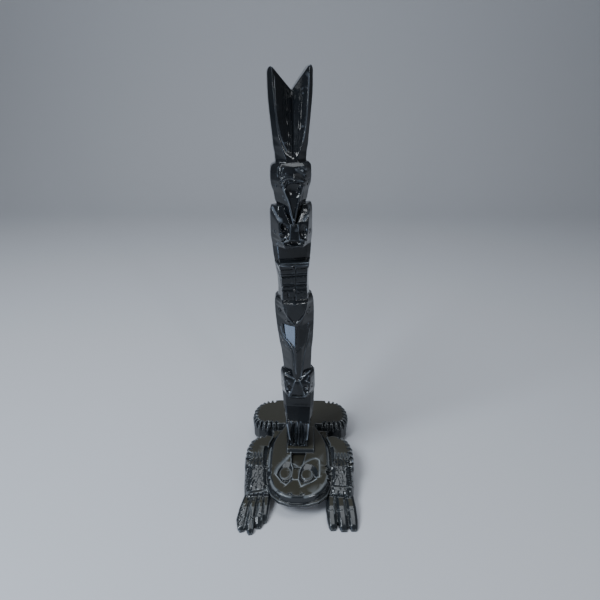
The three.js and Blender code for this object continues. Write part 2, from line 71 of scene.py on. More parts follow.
# The creature that carries the pole: one block of close-grained wood, sawn to a crouching
# beast, carved with knives and small gouges, then lacquered black. Its upper faces are satin,
# and their brownish tone is a painted sheen that stands in for the light they reflect.
def pick(piece):
    """Leaves one piece selected and active."""
    bpy.ops.object.select_all(action="DESELECT")
    piece.select_set(True)
    bpy.context.view_layer.objects.active = piece


def finish_modifier(piece, kind, **settings):
    """Adds a modifier with these settings to a piece and applies it."""
    pick(piece)
    modifier = piece.modifiers.new(kind.lower(), kind)
    for name, value in settings.items():
        setattr(modifier, name, value)
    bpy.ops.object.modifier_apply(modifier=modifier.name)


def roughed_out(node, name, grain):
    """A copy of a solid as a mesh of even grain, with its corners rounded off."""
    piece = bpy.data.objects.new(name, frame["nodes"][node].data.copy())
    bpy.context.scene.collection.objects.link(piece)
    pick(piece)
    bpy.ops.object.mode_set(mode="EDIT")
    bpy.ops.mesh.select_all(action="SELECT")
    bpy.ops.mesh.remove_doubles(threshold=1e-6)
    bpy.ops.object.mode_set(mode="OBJECT")
    finish_modifier(piece, "REMESH", mode="VOXEL", voxel_size=grain, adaptivity=0)
    finish_modifier(piece, "SMOOTH", factor=0.5, iterations=3)
    return piece


def smooth_route(places, step):
    """The places in millimetres joined by one smooth line, with a point at every step."""
    spots = [Vector(place) / 1000 for place in places]
    spots = [2 * spots[0] - spots[1], *spots, 2 * spots[-1] - spots[-2]]
    route = []
    for before, start, end, after in zip(spots, spots[1:], spots[2:], spots[3:]):
        count = max(1, round((end - start).length / step))
        for n in range(count):
            t = n / count
            route.append(0.5 * (
                2 * start + (end - before) * t
                + (2 * before - 5 * start + 4 * end - after) * t ** 2
                + (3 * start - before - 3 * end + after) * t ** 3
            ))
    route.append(spots[-2])
    return route


highlight_lines = []


def gouge(piece, places, width, depth, run_out=0.35, rubbed=0.0):
    """Lays a round blade along some places in millimetres, where a gouge takes its cut.

    The ends keep the share run_out of the depth, and the last argument sets how strong a painted highlight
    lies along the line.
    """
    width = width / 1000
    depth = depth / 1000
    blade = (width ** 2 / 4 + depth ** 2) / (2 * depth)
    route = smooth_route(places, step=0.0007)
    last = len(route) - 1
    nears = []
    normals = []
    for spot in route:
        _, near, normal, _ = piece.closest_point_on_mesh(spot)
        nears.append(near)
        normals.append(normal)
    evening_passes = 4
    for _ in range(evening_passes):
        for line in (nears, normals):
            line[1:-1] = [(line[n - 1] + 2 * line[n] + line[n + 1]) / 4 for n in range(1, last)]
    middles = []
    for n, (near, normal) in enumerate(zip(nears, normals)):
        quarters_in = 4 * min(n, last - n) / last
        share = min(1, run_out + quarters_in * (1 - run_out))
        middles.append(near + normal.normalized() * (blade - depth * share))
        highlight_lines.append((near, 0.5 * width, rubbed))
    bpy.ops.object.select_all(action="DESELECT")
    bpy.ops.curve.primitive_nurbs_path_add()
    rod = bpy.context.active_object
    rod.name = "gouge_cut"
    rod.data.splines.clear()
    line = rod.data.splines.new("POLY")
    line.points.add(last)
    for point, middle in zip(line.points, middles):
        point.co = (*middle, 1)
    rod.data.bevel_depth = blade
    rod.data.bevel_resolution = 2
    rod.data.use_fill_caps = True


def show_highlight_lines(piece):
    """Records the painted highlight along the cut lines, in full on each line and less beside it."""
    full = 1.6
    fade = 1.5
    tree = KDTree(len(highlight_lines))
    for n, (near, _, _) in enumerate(highlight_lines):
        tree.insert(near, n)
    tree.balance()
    highlight_values = piece.data.attributes.new("rubbed", "FLOAT", "POINT")
    for n, vertex in enumerate(piece.data.vertices):
        _, nearest, distance = tree.find(vertex.co)
        _, reach, rubbed = highlight_lines[nearest]
        highlight_values.data[n].value = rubbed * max(0.0, min(1.0, full - fade * distance / reach))
    highlight_lines.clear()


def level_side(normal):
    """The level way across a surface, or the carving's own where the surface lies flat."""
    side = Vector((0, 0, 1)).cross(normal)
    nearly_flat = 0.3
    if side.length < nearly_flat:
        side = Vector((1, 0, 0))
    return side.normalized()


def scoop(piece, place, across, up, depth):
    """Sets an egg-shaped cutter where a spoon gouge hollows out a dish."""
    _, near, normal, _ = piece.closest_point_on_mesh(Vector(place) / 1000)
    bpy.ops.object.select_all(action="DESELECT")
    bpy.ops.mesh.primitive_uv_sphere_add(segments=40, ring_count=24, radius=1)
    egg = bpy.context.active_object
    egg.name = "scoop_cut"
    thick_for_depth = 1.6
    thick = thick_for_depth * depth / 1000
    egg.scale = (across / 1000, up / 1000, thick)
    side = level_side(normal)
    turn = Matrix((side, normal.cross(side), normal)).transposed()
    egg.rotation_euler = turn.to_euler()
    egg.location = near + normal * (thick - depth / 1000)


def pare(corners):
    """Sets a block over the flat that a chisel pares between these corners."""
    bpy.ops.object.select_all(action="DESELECT")
    bpy.ops.mesh.primitive_circle_add(vertices=len(corners), radius=1, fill_type="NGON")
    block = bpy.context.active_object
    block.name = "scoop_cut"
    for vertex, corner in zip(block.data.vertices, corners):
        vertex.co = Vector(corner) / 1000
    bpy.ops.object.mode_set(mode="EDIT")
    bpy.ops.mesh.select_all(action="SELECT")
    forward = 0.014
    bpy.ops.mesh.extrude_region_move(TRANSFORM_OT_translate={"value": (0, -forward, 0)})
    bpy.ops.object.mode_set(mode="OBJECT")


def ring(piece, place, across, up, width, depth, rubbed=0.0):
    """A narrow gouge line right round an eye or a mouth."""
    _, near, normal, _ = piece.closest_point_on_mesh(Vector(place) / 1000)
    side = level_side(normal)
    rise = normal.cross(side)
    loop = []
    parts = 12
    for n in range(parts + 1):
        turn = math.tau * n / parts
        loop.append(1000 * near + side * across * math.cos(turn) + rise * up * math.sin(turn))
    gouge(piece, loop, width, depth, run_out=1, rubbed=rubbed)


def cut_away(piece):
    """Takes every waiting cut out of the piece."""
    cut_names = ("gouge_cut", "scoop_cut")
    cuts = [cut for cut in bpy.context.scene.objects if cut.name.startswith(cut_names)]
    bpy.ops.object.select_all(action="DESELECT")
    for cut in cuts:
        cut.select_set(True)
    bpy.context.view_layer.objects.active = cuts[0]
    bpy.ops.object.convert(target="MESH")
    bpy.ops.object.mode_set(mode="EDIT")
    bpy.ops.mesh.select_all(action="SELECT")
    bpy.ops.mesh.remove_doubles(threshold=1e-6)
    bpy.ops.mesh.normals_make_consistent(inside=False)
    bpy.ops.object.mode_set(mode="OBJECT")
    tray = bpy.data.collections.new("cuts")
    bpy.context.scene.collection.children.link(tray)
    for cut in cuts:
        tray.objects.link(cut)
    finish_modifier(
        piece, "BOOLEAN", operation="DIFFERENCE", operand_type="COLLECTION", collection=tray,
        solver="MANIFOLD",
    )
    for cut in cuts:
        bpy.data.objects.remove(cut)
    bpy.data.collections.remove(tray)


def clear_faces(piece, chosen):
    """Deletes the faces that are marked true in a list of them all."""
    for face, choice in zip(piece.data.polygons, chosen):
        face.select = choice
    bpy.ops.object.mode_set(mode="EDIT")
    bpy.ops.mesh.delete(type="FACE")
    bpy.ops.object.mode_set(mode="OBJECT")


def sweep_off(piece):
    """Clears away the folded slivers and the stray faces that the cuts leave."""
    same_place = 2e-7
    places_per_metre = 1e7
    pick(piece)
    bpy.ops.object.mode_set(mode="EDIT")
    bpy.ops.mesh.select_mode(type="FACE")
    bpy.ops.mesh.select_all(action="SELECT")
    bpy.ops.mesh.dissolve_degenerate(threshold=1e-6)
    bpy.ops.mesh.quads_convert_to_tris()
    bpy.ops.object.mode_set(mode="OBJECT")
    places = [
        tuple(round(value * places_per_metre) for value in vertex.co)
        for vertex in piece.data.vertices
    ]
    corners = [frozenset(places[v] for v in face.vertices) for face in piece.data.polygons]
    copies = Counter(corners)
    clear_faces(piece, [copies[at] > 1 for at in corners])
    bpy.ops.object.mode_set(mode="EDIT")
    bpy.ops.mesh.select_all(action="SELECT")
    bpy.ops.mesh.remove_doubles(threshold=same_place)
    bpy.ops.object.mode_set(mode="OBJECT")
    open_edge_passes = 2
    for _ in range(open_edge_passes):
        uses = Counter(edge for face in piece.data.polygons for edge in face.edge_keys)
        clear_faces(piece, [
            any(uses[edge] == 1 for edge in face.edge_keys) for face in piece.data.polygons
        ])


def sand(piece):
    """Gives the last light rub, a mesh of a handy size and crisp edges between the flats."""
    most_triangles = 190000
    finish_modifier(piece, "SMOOTH", factor=0.5, iterations=1)
    triangles = sum(len(face.vertices) - 2 for face in piece.data.polygons)
    if triangles > most_triangles:
        finish_modifier(piece, "DECIMATE", ratio=most_triangles / triangles)
    sweep_off(piece)
    pick(piece)
    crisp_edge = math.radians(35)
    bpy.ops.object.shade_smooth_by_angle(angle=crisp_edge)
    finish_modifier(piece, "WEIGHTED_NORMAL", mode="FACE_AREA", weight=50, keep_sharp=True)


def lacquer(name, sheen_top_colour, side_colour, highlight_colour, edge_highlight, side_rough, top_rough):
    """Black lacquer over tool marks, satin on the upward faces, with a painted sheen lightening their
    colour and painted highlights along the edges and the cut lines.
    """
    material = bpy.data.materials.new(name)
    material.use_nodes = True
    tree = material.node_tree
    shader = tree.nodes["Principled BSDF"]
    place = tree.nodes.new("ShaderNodeTexCoord")

    facing = tree.nodes.new("ShaderNodeSeparateXYZ")
    tree.links.new(place.outputs["Normal"], facing.inputs["Vector"])
    upward = tree.nodes.new("ShaderNodeMapRange")
    upward.inputs["From Min"].default_value = 0.955
    upward.inputs["From Max"].default_value = 0.985
    tree.links.new(facing.outputs["Z"], upward.inputs["Value"])

    patches = tree.nodes.new("ShaderNodeTexNoise")
    patches.inputs["Scale"].default_value = 55
    patches.inputs["Detail"].default_value = 6
    tree.links.new(place.outputs["Object"], patches.inputs["Vector"])

    # painted sheen: the upward faces take the lighter top colour
    colour = tree.nodes.new("ShaderNodeMix")
    colour.data_type = "RGBA"
    colour.inputs["A"].default_value = side_colour
    colour.inputs["B"].default_value = sheen_top_colour
    tree.links.new(upward.outputs["Result"], colour.inputs["Factor"])

    # painted highlight: convex edges, found by their pointiness, and the cut lines are lightened toward
    # the highlight colour
    edge = tree.nodes.new("ShaderNodeNewGeometry")
    edge_glint = tree.nodes.new("ShaderNodeMapRange")
    edge_glint.inputs["From Min"].default_value = 0.515
    edge_glint.inputs["From Max"].default_value = 0.565
    edge_glint.inputs["To Max"].default_value = edge_highlight
    tree.links.new(edge.outputs["Pointiness"], edge_glint.inputs["Value"])
    lines = tree.nodes.new("ShaderNodeAttribute")
    lines.attribute_name = "rubbed"
    brightest_highlight = tree.nodes.new("ShaderNodeMath")
    brightest_highlight.operation = "MAXIMUM"
    tree.links.new(edge_glint.outputs["Result"], brightest_highlight.inputs[0])
    tree.links.new(lines.outputs["Fac"], brightest_highlight.inputs[1])
    highlight_mix = tree.nodes.new("ShaderNodeMix")
    highlight_mix.data_type = "RGBA"
    highlight_mix.inputs["B"].default_value = highlight_colour
    tree.links.new(brightest_highlight.outputs["Value"], highlight_mix.inputs["Factor"])
    tree.links.new(colour.outputs["Result"], highlight_mix.inputs["A"])
    tree.links.new(highlight_mix.outputs["Result"], shader.inputs["Base Color"])

    satin = tree.nodes.new("ShaderNodeMapRange")
    satin.inputs["To Min"].default_value = side_rough
    satin.inputs["To Max"].default_value = top_rough
    tree.links.new(upward.outputs["Result"], satin.inputs["Value"])
    patch_strength = 0.16
    uneven = tree.nodes.new("ShaderNodeMath")
    uneven.operation = "MULTIPLY_ADD"
    uneven.inputs[1].default_value = patch_strength
    tree.links.new(patches.outputs["Fac"], uneven.inputs[0])
    tree.links.new(satin.outputs["Result"], uneven.inputs[2])
    tree.links.new(uneven.outputs["Value"], shader.inputs["Roughness"])

    tools = tree.nodes.new("ShaderNodeTexNoise")
    tools.inputs["Scale"].default_value = 420
    tools.inputs["Detail"].default_value = 4
    tree.links.new(place.outputs["Object"], tools.inputs["Vector"])
    marks = tree.nodes.new("ShaderNodeBump")
    marks.inputs["Strength"].default_value = 0.12
    marks.inputs["Distance"].default_value = 0.0004
    tree.links.new(tools.outputs["Fac"], marks.inputs["Height"])
    tree.links.new(marks.outputs["Normal"], shader.inputs["Normal"])

    shader.inputs["Specular IOR Level"].default_value = 0.15
    shader.inputs["Coat Weight"].default_value = 1.0
    shader.inputs["Coat IOR"].default_value = 1.35
    shader.inputs["Coat Roughness"].default_value = 0.08
    return material


creature = roughed_out("creature_base", "creature", grain=0.00055)

# brows, lids and the bars between the eyes, lightened along their lines by a painted highlight
for route, width, depth, rubbed in [
    ([(-8.5, -11, 28), (-15.7, -20.2, 28), (-21.3, -29.6, 27.7), (-22.3, -35.5, 27.3)], 4.4, 1.1, 0.55),
    ([(3.5, -23.8, 26.6), (8.5, -19.3, 28), (16.4, -14.8, 28), (21, -16.4, 28)], 2.6, 0.8, 0.55),
    ([(21.7, -17.5, 28), (21.8, -27.7, 27.8), (21.4, -38.5, 27.1)], 1.6, 0.5, 0.9),
    ([(-22.3, -36.5, 27.3), (-16.5, -44.2, 26.9), (-11.8, -48.6, 26.6)], 1.8, 0.5, 0.9),
    ([(-11.4, -48.9, 26.6), (-8.6, -43.9, 26.6), (-6.8, -40.4, 26.6)], 1.4, 0.4, 0.9),
    ([(0.6, -42.8, 27), (2.2, -47.5, 26.7), (3.4, -50.2, 26.5)], 1.4, 0.4, 0.9),
    ([(3.6, -50.4, 26.5), (10.1, -45.8, 26.6), (18.3, -41, 26.8)], 2, 0.6, 0.9),
    ([(15.6, -34.5, 26), (17.6, -38.6, 26.5), (21, -38.9, 27)], 1.2, 0.4, 0.9),
    ([(-8, -7, 28.5), (-7.8, -15, 28), (-7, -24.8, 27.6)], 1.3, 0.5, 0.9),
    ([(-6.4, -27.5, 27.8), (-6.2, -34.4, 27.4), (-7, -40, 27)], 1.3, 0.5, 0.9),
    ([(-5.6, -25.2, 27.4), (-1.2, -25.7, 27.4), (2.6, -25.6, 27.3)], 1.3, 0.5, 0.9),
    ([(-6.4, -41.4, 27), (-3.8, -42.4, 27), (0.2, -42.1, 27)], 1.3, 0.5, 0.9),
    ([(2.9, -26.4, 27.2), (1.3, -31.8, 27.5), (0.8, -40.6, 27)], 1.3, 0.5, 0.9),
    ([(-6.6, -16, 28), (-4, -20.5, 27.6), (-1, -24.4, 27)], 3, 0.6, 0.55),
]:
    gouge(creature, route, width, depth, rubbed=rubbed)
ring(creature, (-13.4, -33.6, 27.3), 5.6, 7.6, 1, 0.35, rubbed=0.7)
ring(creature, (8.2, -35, 27.2), 5.6, 6.6, 1, 0.35, rubbed=0.7)

# the sloped band round the rim of the head, lightened by a painted highlight
for side in (-1, 1):
    gouge(creature, [
        (side * 30.4, 2, 26.2), (side * 30.8, -6, 26), (side * 30.4, -20, 26), (side * 29.6, -32, 26),
        (side * 27, -43.5, 25.6), (side * 21.5, -53, 25.2), (side * 14, -58.4, 24.6),
        (side * 7, -60.8, 24.4),
    ], 3.2, 0.3, rubbed=0.42)

# nostrils, lips and the mouth line
for start, end in [((-9, -58.6, 26.1), (-5.4, -59.6, 26)), ((3, -60, 26), (6.4, -58.9, 26))]:
    gouge(creature, [start, end], 2.2, 1)
gouge(creature, [
    (-20, -55, 25.4), (-12.8, -58.9, 25.8), (-8, -60.4, 26), (-0.4, -60.9, 26), (5.3, -61, 25.9),
], 1.4, 0.4)
gouge(creature, [
    (-26, -48.4, 20), (-22.5, -53.6, 19.4), (-15, -60.4, 18.4), (-7, -64.2, 18.4), (0, -64.8, 18.4),
    (8, -63.4, 18.4), (16, -59, 18.4), (22.5, -53.4, 19.4), (26, -48.4, 20),
], 1.8, 0.8)

# rows of short hollows down the forearms, their rounded outer edges and the notches there
first_row = -13.5
row_step = 3.6
slope_start = -24
margin = 2
for side, inner, outer in [(-1, 33, 52), (1, 33.5, 53)]:
    spread = outer - inner - 2 * margin
    for row in range(9):
        y = first_row - row_step * row
        if y > slope_start:
            z = 27.6 - 0.034 * (y - first_row) ** 2
        else:
            z = 24 + 0.42 * (y - slope_start)
        count = 4 + row % 2
        for n in range(count):
            x = side * (inner + margin + spread * (n + 0.5 * (row % 2 == 0)) / (count - 0.5))
            slant = 1.3 * side * (0.6 if (row + n) % 3 else -0.5)
            hollow = [(x - slant, y + 2.4, z + 1), (x + slant, y - 2.4, z - 1)]
            gouge(creature, hollow, 4.6, 0.5, run_out=0.1)
    gouge(creature, [
        (side * outer, -14, 27), (side * (outer + 0.4), -26, 24), (side * outer, -40, 17),
    ], 4.5, 0.9)
    for n in range(7):
        y = -13 - 4.4 * n
        z = 26 - 0.25 * n * n
        notch = [(side * (outer + 1.5), y + 1, z - 4), (side * (outer - 4), y - 1, z + 0.5)]
        gouge(creature, notch, 1.6, 0.8)

# wrists, knuckle squares, fingers, cuticles and the notched outer finger, the wrist and finger lines
# lightened by a painted highlight
gouge(creature, [(-51.2, -48, 14), (-47, -48.7, 15.7), (-37.5, -47.3, 16.8), (-31, -45.6, 16)],
      2.4, 1.3, rubbed=0.5)
gouge(creature, [(31.6, -41.4, 19), (38.5, -42.2, 18.7), (44.8, -43, 18.6), (52.4, -42, 17.6)],
      2.4, 1.3, rubbed=0.5)
for x, y in [
    (-48.2, -50.2), (-43, -50.6), (-38.6, -50), (-34.2, -49),
    (34.8, -45), (40.5, -46), (46, -46.4), (50.8, -45.8),
]:
    gouge(creature, [(x, y, 16), (x, y - 5, 14)], 3, 1.1, run_out=0.6)
for route in [
    [(-44.5, -58.4, 11.9), (-47.6, -66.7, 8.8), (-49.7, -79, 4)],
    [(-44.8, -61.1, 11.7), (-43.9, -71.2, 8.9), (-46.1, -77.2, 6)],
    [(-36.5, -57.8, 11.7), (-38.1, -66.1, 9.7), (-41.6, -74.2, 7.3), (-41.9, -80, 4.6)],
    [(-32.5, -56.8, 10.6), (-32.9, -65.4, 8.9), (-34.3, -72.3, 6.4)],
    [(36.7, -49.3, 12.8), (35.7, -57, 11), (35.7, -66, 9.4)],
    [(46.4, -50, 15), (46, -58, 11.4), (46.5, -67.2, 8.5)],
]:
    gouge(creature, route, 1.4, 0.6, rubbed=0.45)
for x, y, z, half in [
    (-52.4, -70.4, 7.6, 1.8), (-47.6, -72.4, 7.4, 1.6), (-41.6, -71.8, 8, 2), (-34.6, -67.4, 8, 2),
    (31.6, -63.1, 10, 2.6), (41, -63.3, 10, 3), (50.6, -62.8, 10, 2.8),
]:
    gouge(creature, [(x - half, y + 0.5, z), (x, y - 0.6, z + 0.6), (x + half, y + 0.5, z)], 1.3, 0.6)
for x, y, z in [
    (-53.4, -59.9, 11.5), (-53.2, -64.4, 10.2), (-53.5, -68.8, 8.6), (-53.9, -73.6, 6.8),
    (-54.1, -78, 5),
]:
    gouge(creature, [(x - 1.6, y - 1, z - 1.4), (x, y, z), (x + 2.6, y + 1, z + 0.6)], 1.5, 0.8)

# the hollows round the shoulders' front rims, lightened by a painted highlight, and the hatching on the
# haunches' fronts
for side in (-1, 1):
    for n in range(6):
        x = 35.5 + 3.3 * n
        y = -8.4 - 0.035 * (n - 2.5) ** 2
        gouge(creature, [(side * x, y + 1.6, 28), (side * (x + 0.8), y - 5.2, 26.6)], 2.3, 0.9, rubbed=0.3)
    for n in range(7):
        x = side * (27.5 + 3.5 * n)
        gouge(creature, [(x, 43.6, 26.6), (x + side * 1.6, 37.4, 21)], 1.7, 0.7)

cut_away(creature)
sand(creature)
show_highlight_lines(creature)
creature.data.materials.clear()
creature.data.materials.append(lacquer(
    "base_lacquer",
    # painted sheen: a brownish top colour on the upward faces
    sheen_top_colour=(0.030, 0.0285, 0.0215, 1),
    side_colour=(0.012, 0.0145, 0.017, 1),
    # painted highlight: a light blue-grey on the edges and the cut lines
    highlight_colour=(0.25, 0.27, 0.285, 1),
    edge_highlight=0.5,
    side_rough=0.16,
    top_rough=0.34,
))
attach(creature, "root")
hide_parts("creature_base")


# The pole: one straight-grained billet, its front and sides carved with stacked figures and
# its back left round, lacquered blue-black and polished brighter than the creature below.
pole = roughed_out("totem_pole", "pole", grain=0.0005)

# the valley between the tail blades
gouge(pole, [(-4.7, 19, 371.6), (-4.5, 14.6, 349.9), (-4.3, 7.3, 326)], 1.8, 0.8)

# long shallow channels down the inside of the blades
for share in (0.17, 0.34, 0.51, 0.68, 0.85):
    for foot_x, middle_x, top_x in [(-8.6, -14, -17.2), (1.2, 4.6, 8.2)]:
        gouge(pole, [
            (-4.3 + share * (foot_x + 4.3), 7, 329), (-4.5 + share * (middle_x + 4.5), 12, 350),
            (-4.7 + share * (top_x + 4.7), 16, 376),
        ], 2.6, 0.35)

# the narrow edges of the blades, with a painted highlight along them
gouge(pole, [
    (-18, 8, 384), (-17.4, 6.4, 361.2), (-16, 6.2, 350.4), (-13.2, 6.2, 339.3), (-9.4, 6.7, 331),
], 1.5, 0.5, rubbed=0.3)
gouge(pole, [(8.4, 12, 386), (7.2, 10.4, 366), (6.2, 9.6, 352), (4, 8.7, 338.6)], 1.5, 0.5, rubbed=0.3)

# the top bird: the hollow under its brow, its feather cuts and the bands beside its beak, with a painted
# highlight along the cuts and round its eyes
scoop(pole, (-4, 0.4, 300.6), 7, 7, 2)
for route, width, depth in [
    ([(-13.1, 1.4, 307.5), (-11, -0.4, 309.8), (-8.1, -0.3, 311), (-4.1, -0.6, 310.3), (-0.1, 0.6, 309.1),
      (3.9, 2.1, 307.8)], 1.3, 0.6),
    ([(-1.4, 2.6, 316.8), (1.5, 2.7, 315.3), (4.7, 4.6, 312.6)], 2, 0.9),
    ([(0.6, 3.9, 317.8), (3.5, 4, 316.2)], 2, 0.9),
    ([(3, 5.5, 319.1), (6.3, 6.1, 316.7)], 2, 0.9),
    ([(-0.5, 0.3, 307.4), (1.5, 1.7, 305.1), (3.9, 1.9, 303.1)], 1.2, 1),
    ([(-1.8, 1.1, 304), (0.7, 1.5, 301.9), (2.7, 1.3, 299.9)], 1.2, 1.6),
    ([(-2.6, 1, 300.8), (-0.6, 1.3, 298.7), (1.5, 0.7, 297.6)], 1.2, 2),
    ([(-8.2, -0.8, 308.3), (-9.4, -0.3, 305.4), (-11.1, -1, 301.6)], 1.2, 1),
    ([(-5, 0.5, 304.9), (-6.6, 0.2, 301.7), (-7.9, 0, 298.1)], 1.2, 2),
    ([(-15.9, 4.1, 318.9), (-17.1, 3.7, 315.8), (-16.8, 2.8, 312)], 1.2, 0.6),
    ([(-12.2, 2.8, 318.3), (-13.8, 1.6, 315.4), (-14.2, -0.1, 311)], 1.2, 0.6),
    ([(-10.2, 0.6, 314.4), (-11.4, -0.1, 311.8)], 1.1, 0.5),
    ([(-13.1, -0.6, 305.5), (-11.5, -0.3, 299.8), (-8.3, -1.5, 291.9), (-5.9, -1.8, 285.4),
      (-4, -1.9, 277)], 1.8, 0.5),
    ([(5.1, 4.2, 303.8), (3.9, 4.6, 295.3), (1.8, 4, 288.1), (-0.3, 3, 280.8), (-2.2, -1, 276)], 1.8, 0.5),
    ([(-12.5, 1.8, 296.1), (-11.3, 1.1, 293.4)], 1.6, 0.8),
]:
    gouge(pole, route, width, depth, rubbed=0.45)
for place in [(-18.5, 5.7, 303.7), (8.8, 11.3, 307.2)]:
    ring(pole, place, 2, 1.7, 0.9, 0.45, rubbed=0.7)

# the upper face: eye hollows with drilled pupils, the ears, the cheeks and the mouth, with a painted
# highlight along the ear, cheek and nose cuts
scoop(pole, (-11.4, -1.5, 267.6), 4.3, 6.8, 1.7)
scoop(pole, (4.9, 0.6, 266.6), 4.3, 6.8, 1.7)
scoop(pole, (-2, -0.6, 255.8), 6, 2.9, 1.6)
for x, y, z in [(-12.4, -1.8, 267.1), (5.3, 1.1, 265.9)]:
    gouge(pole, [(x, y, z + 0.8), (x, y, z - 0.8)], 2, 2.6, run_out=1)
for route, width, depth in [
    ([(-22, 8, 285), (-19.6, 3.7, 281.5), (-15.6, -0.5, 276.6)], 3.4, 0.9),
    ([(12, 9, 286), (9, 7.7, 283.2), (4.8, 2.4, 275.9)], 3.4, 0.9),
    ([(-19, 5.3, 253.8), (-14.6, -2.3, 259.4), (-10.3, -2.1, 261.3)], 1.6, 0.7),
    ([(-18.8, 8.1, 250.6), (-13.8, -2.1, 257.1), (-8.7, -2.2, 259.4)], 1.4, 0.6),
    ([(1.9, -0.5, 259.3), (5.8, 0.3, 257.7), (9.3, 8, 252)], 1.6, 0.7),
    ([(-6.5, -1, 272.5), (-6.9, -1.6, 265.7), (-7.4, -2.1, 259.8)], 1.1, 0.4),
    ([(-0.6, 0, 272.2), (0.7, -0.2, 265.4), (1.1, -0.7, 259.4)], 1.1, 0.4),
]:
    gouge(pole, route, width, depth, rubbed=0.45)
ring(pole, (-2, -0.8, 255.8), 7, 3.9, 0.9, 0.35)
for place in [(-18.8, 6, 266), (10.6, 8, 265)]:
    ring(pole, place, 2.4, 2.1, 0.9, 0.45)

# the ledge, lightened by a painted highlight, and the crouching legs below it
gouge(pole, [(-15.5, 1, 238), (-3.1, 2.4, 237.4), (9, 3, 237.8)], 1.6, 0.6, rubbed=0.6)
gouge(pole, [(-15.4, -0.4, 235.4), (-3, 0.6, 235), (8.6, 1.6, 235.4)], 1.2, 0.5, rubbed=0.5)
for route, width, depth in [
    ([(-2.2, 2.7, 234), (-2.3, 1.2, 206)], 1.2, 0.8),
    ([(-15.8, 1.1, 227.2), (-3, 2.4, 226.8), (9, 3, 227)], 1, 0.5),
    ([(-13.7, 1.1, 217.4), (-3.9, 2.5, 216.9)], 1, 0.5),
    ([(-1.2, 2.7, 218.6), (9, 3.4, 218.6)], 1, 0.5),
    ([(-20.3, 9.7, 238.4), (-17.8, 5.4, 227.6), (-15.3, 2.4, 214.8)], 1.4, 0.5),
]:
    gouge(pole, route, width, depth)

# the middle bird: the edges of its beak, the notch below the tip and the rings of its eyes
for route, width, depth in [
    ([(8.3, 2.6, 197.4), (6.1, 0.8, 190.1), (2.4, 0.1, 184.2), (-1.7, -0.2, 179.9)], 1.3, 0.6),
    ([(-12.3, 0.2, 198.4), (-11.8, -0.6, 190.7), (-10.6, 0.4, 183.3)], 1.3, 0.6),
    ([(-12.6, 4.8, 180), (-7.9, 1.8, 179.4), (-3.1, -2.1, 179.1)], 1.4, 0.9),
    ([(-2.8, -1.6, 178.4), (-3, 0.6, 173), (-1.9, 0.9, 170)], 1.8, 1.4),
    ([(-18, 7.3, 191.4), (-16.3, 6.1, 188.3)], 1.4, 1),
    ([(-16, 2.9, 198.2), (-13.6, 0, 194.5), (-11.6, -0.4, 189)], 1.2, 0.5),
    ([(-12.3, 0.5, 199.4), (-3, -1, 199), (8.1, 2.6, 198.5)], 1.1, 0.5),
]:
    gouge(pole, route, width, depth)
for place in [(-17.2, 6.9, 189.6), (8.6, 6.4, 187.7)]:
    ring(pole, place, 2.2, 2.1, 0.9, 0.45)

# its pared breast and folded wings, the wing lines lightened by a painted highlight
pare([(-2.4, 5, 174.5), (-2.7, 0.5, 150), (-12.5, 6.5, 160), (-15.4, 10.4, 174.5)])
pare([(-2.4, 5, 174.5), (-2.2, 0.4, 146), (7.5, 6.1, 154), (9.6, 10.4, 174.5)])
for route, width, depth in [
    ([(-17.1, 9.2, 170.3), (-15, 7.7, 160.8), (-11.1, 5.4, 156.6), (-6.2, 2, 150.9), (-3.9, 1.7, 137.5),
      (-2.9, 2, 122)], 1.5, 0.6),
    ([(-17.1, 9.9, 158.3), (-14.1, 7.7, 154.1), (-12.1, 6.2, 150.5)], 1.4, 0.5),
    ([(10.5, 9.9, 167.4), (9.1, 8.2, 156.2), (6.5, 5.7, 145.4), (3.9, 4.5, 130), (2.2, 3.2, 116.6)],
     1.5, 0.6),
    ([(12, 11.3, 162.3), (10.6, 10.2, 149.5)], 1.4, 0.5),
]:
    gouge(pole, route, width, depth, rubbed=0.4)

# the lower face: hatched ears and cheeks, the muzzle and the lip, with a painted highlight along these
# cuts
for route, width, depth in [
    ([(-12.9, 4.5, 119.6), (-8.5, 2.5, 117.7), (-4.5, 1.9, 115.7)], 1.5, 0.6),
    ([(11.4, 7.9, 120.9), (6.4, 3.3, 119.2), (1.6, 2.6, 116.4)], 1.5, 0.6),
    ([(-14.2, 1.8, 112.5), (-13, 0.9, 109.3), (-11.1, -0.4, 104)], 1.2, 0.6),
    ([(-11.6, 1.5, 113.5), (-9.4, 0.4, 110.4)], 1.1, 0.5),
    ([(-14.2, 1.7, 107.4), (-11.5, -0.2, 103.8)], 1.1, 0.5),
    ([(-12.5, -0.1, 101.6), (-9.5, 0.4, 101.3)], 1.4, 0.8),
    ([(9.9, 3, 118.2), (7.7, 1, 113.6)], 1.1, 0.5),
    ([(6.8, 1, 114.1), (10.7, 0.9, 111.8)], 1.1, 0.5),
    ([(8.8, -0.1, 108.4), (8.4, -0.8, 105.3)], 1.1, 0.5),
    ([(9, -1.2, 100.7), (7.5, -1.8, 97.8)], 1.1, 0.5),
    ([(-3, 1.4, 114.4), (-6.5, -0.1, 105.8), (-9.6, -1.3, 98)], 1.2, 0.5),
    ([(0.5, 2.3, 113.8), (4, -0.5, 106.2), (6, -1.8, 98.7)], 1.2, 0.5),
    ([(-10.5, -0.9, 96.6), (-2.5, -0.8, 96.6), (6.5, -1.9, 97)], 1.2, 0.8),
]:
    gouge(pole, route, width, depth, rubbed=0.6)
for place in [(-17.2, 6.6, 107), (11.6, 5, 107)]:
    ring(pole, place, 2.2, 2.1, 0.9, 0.45)

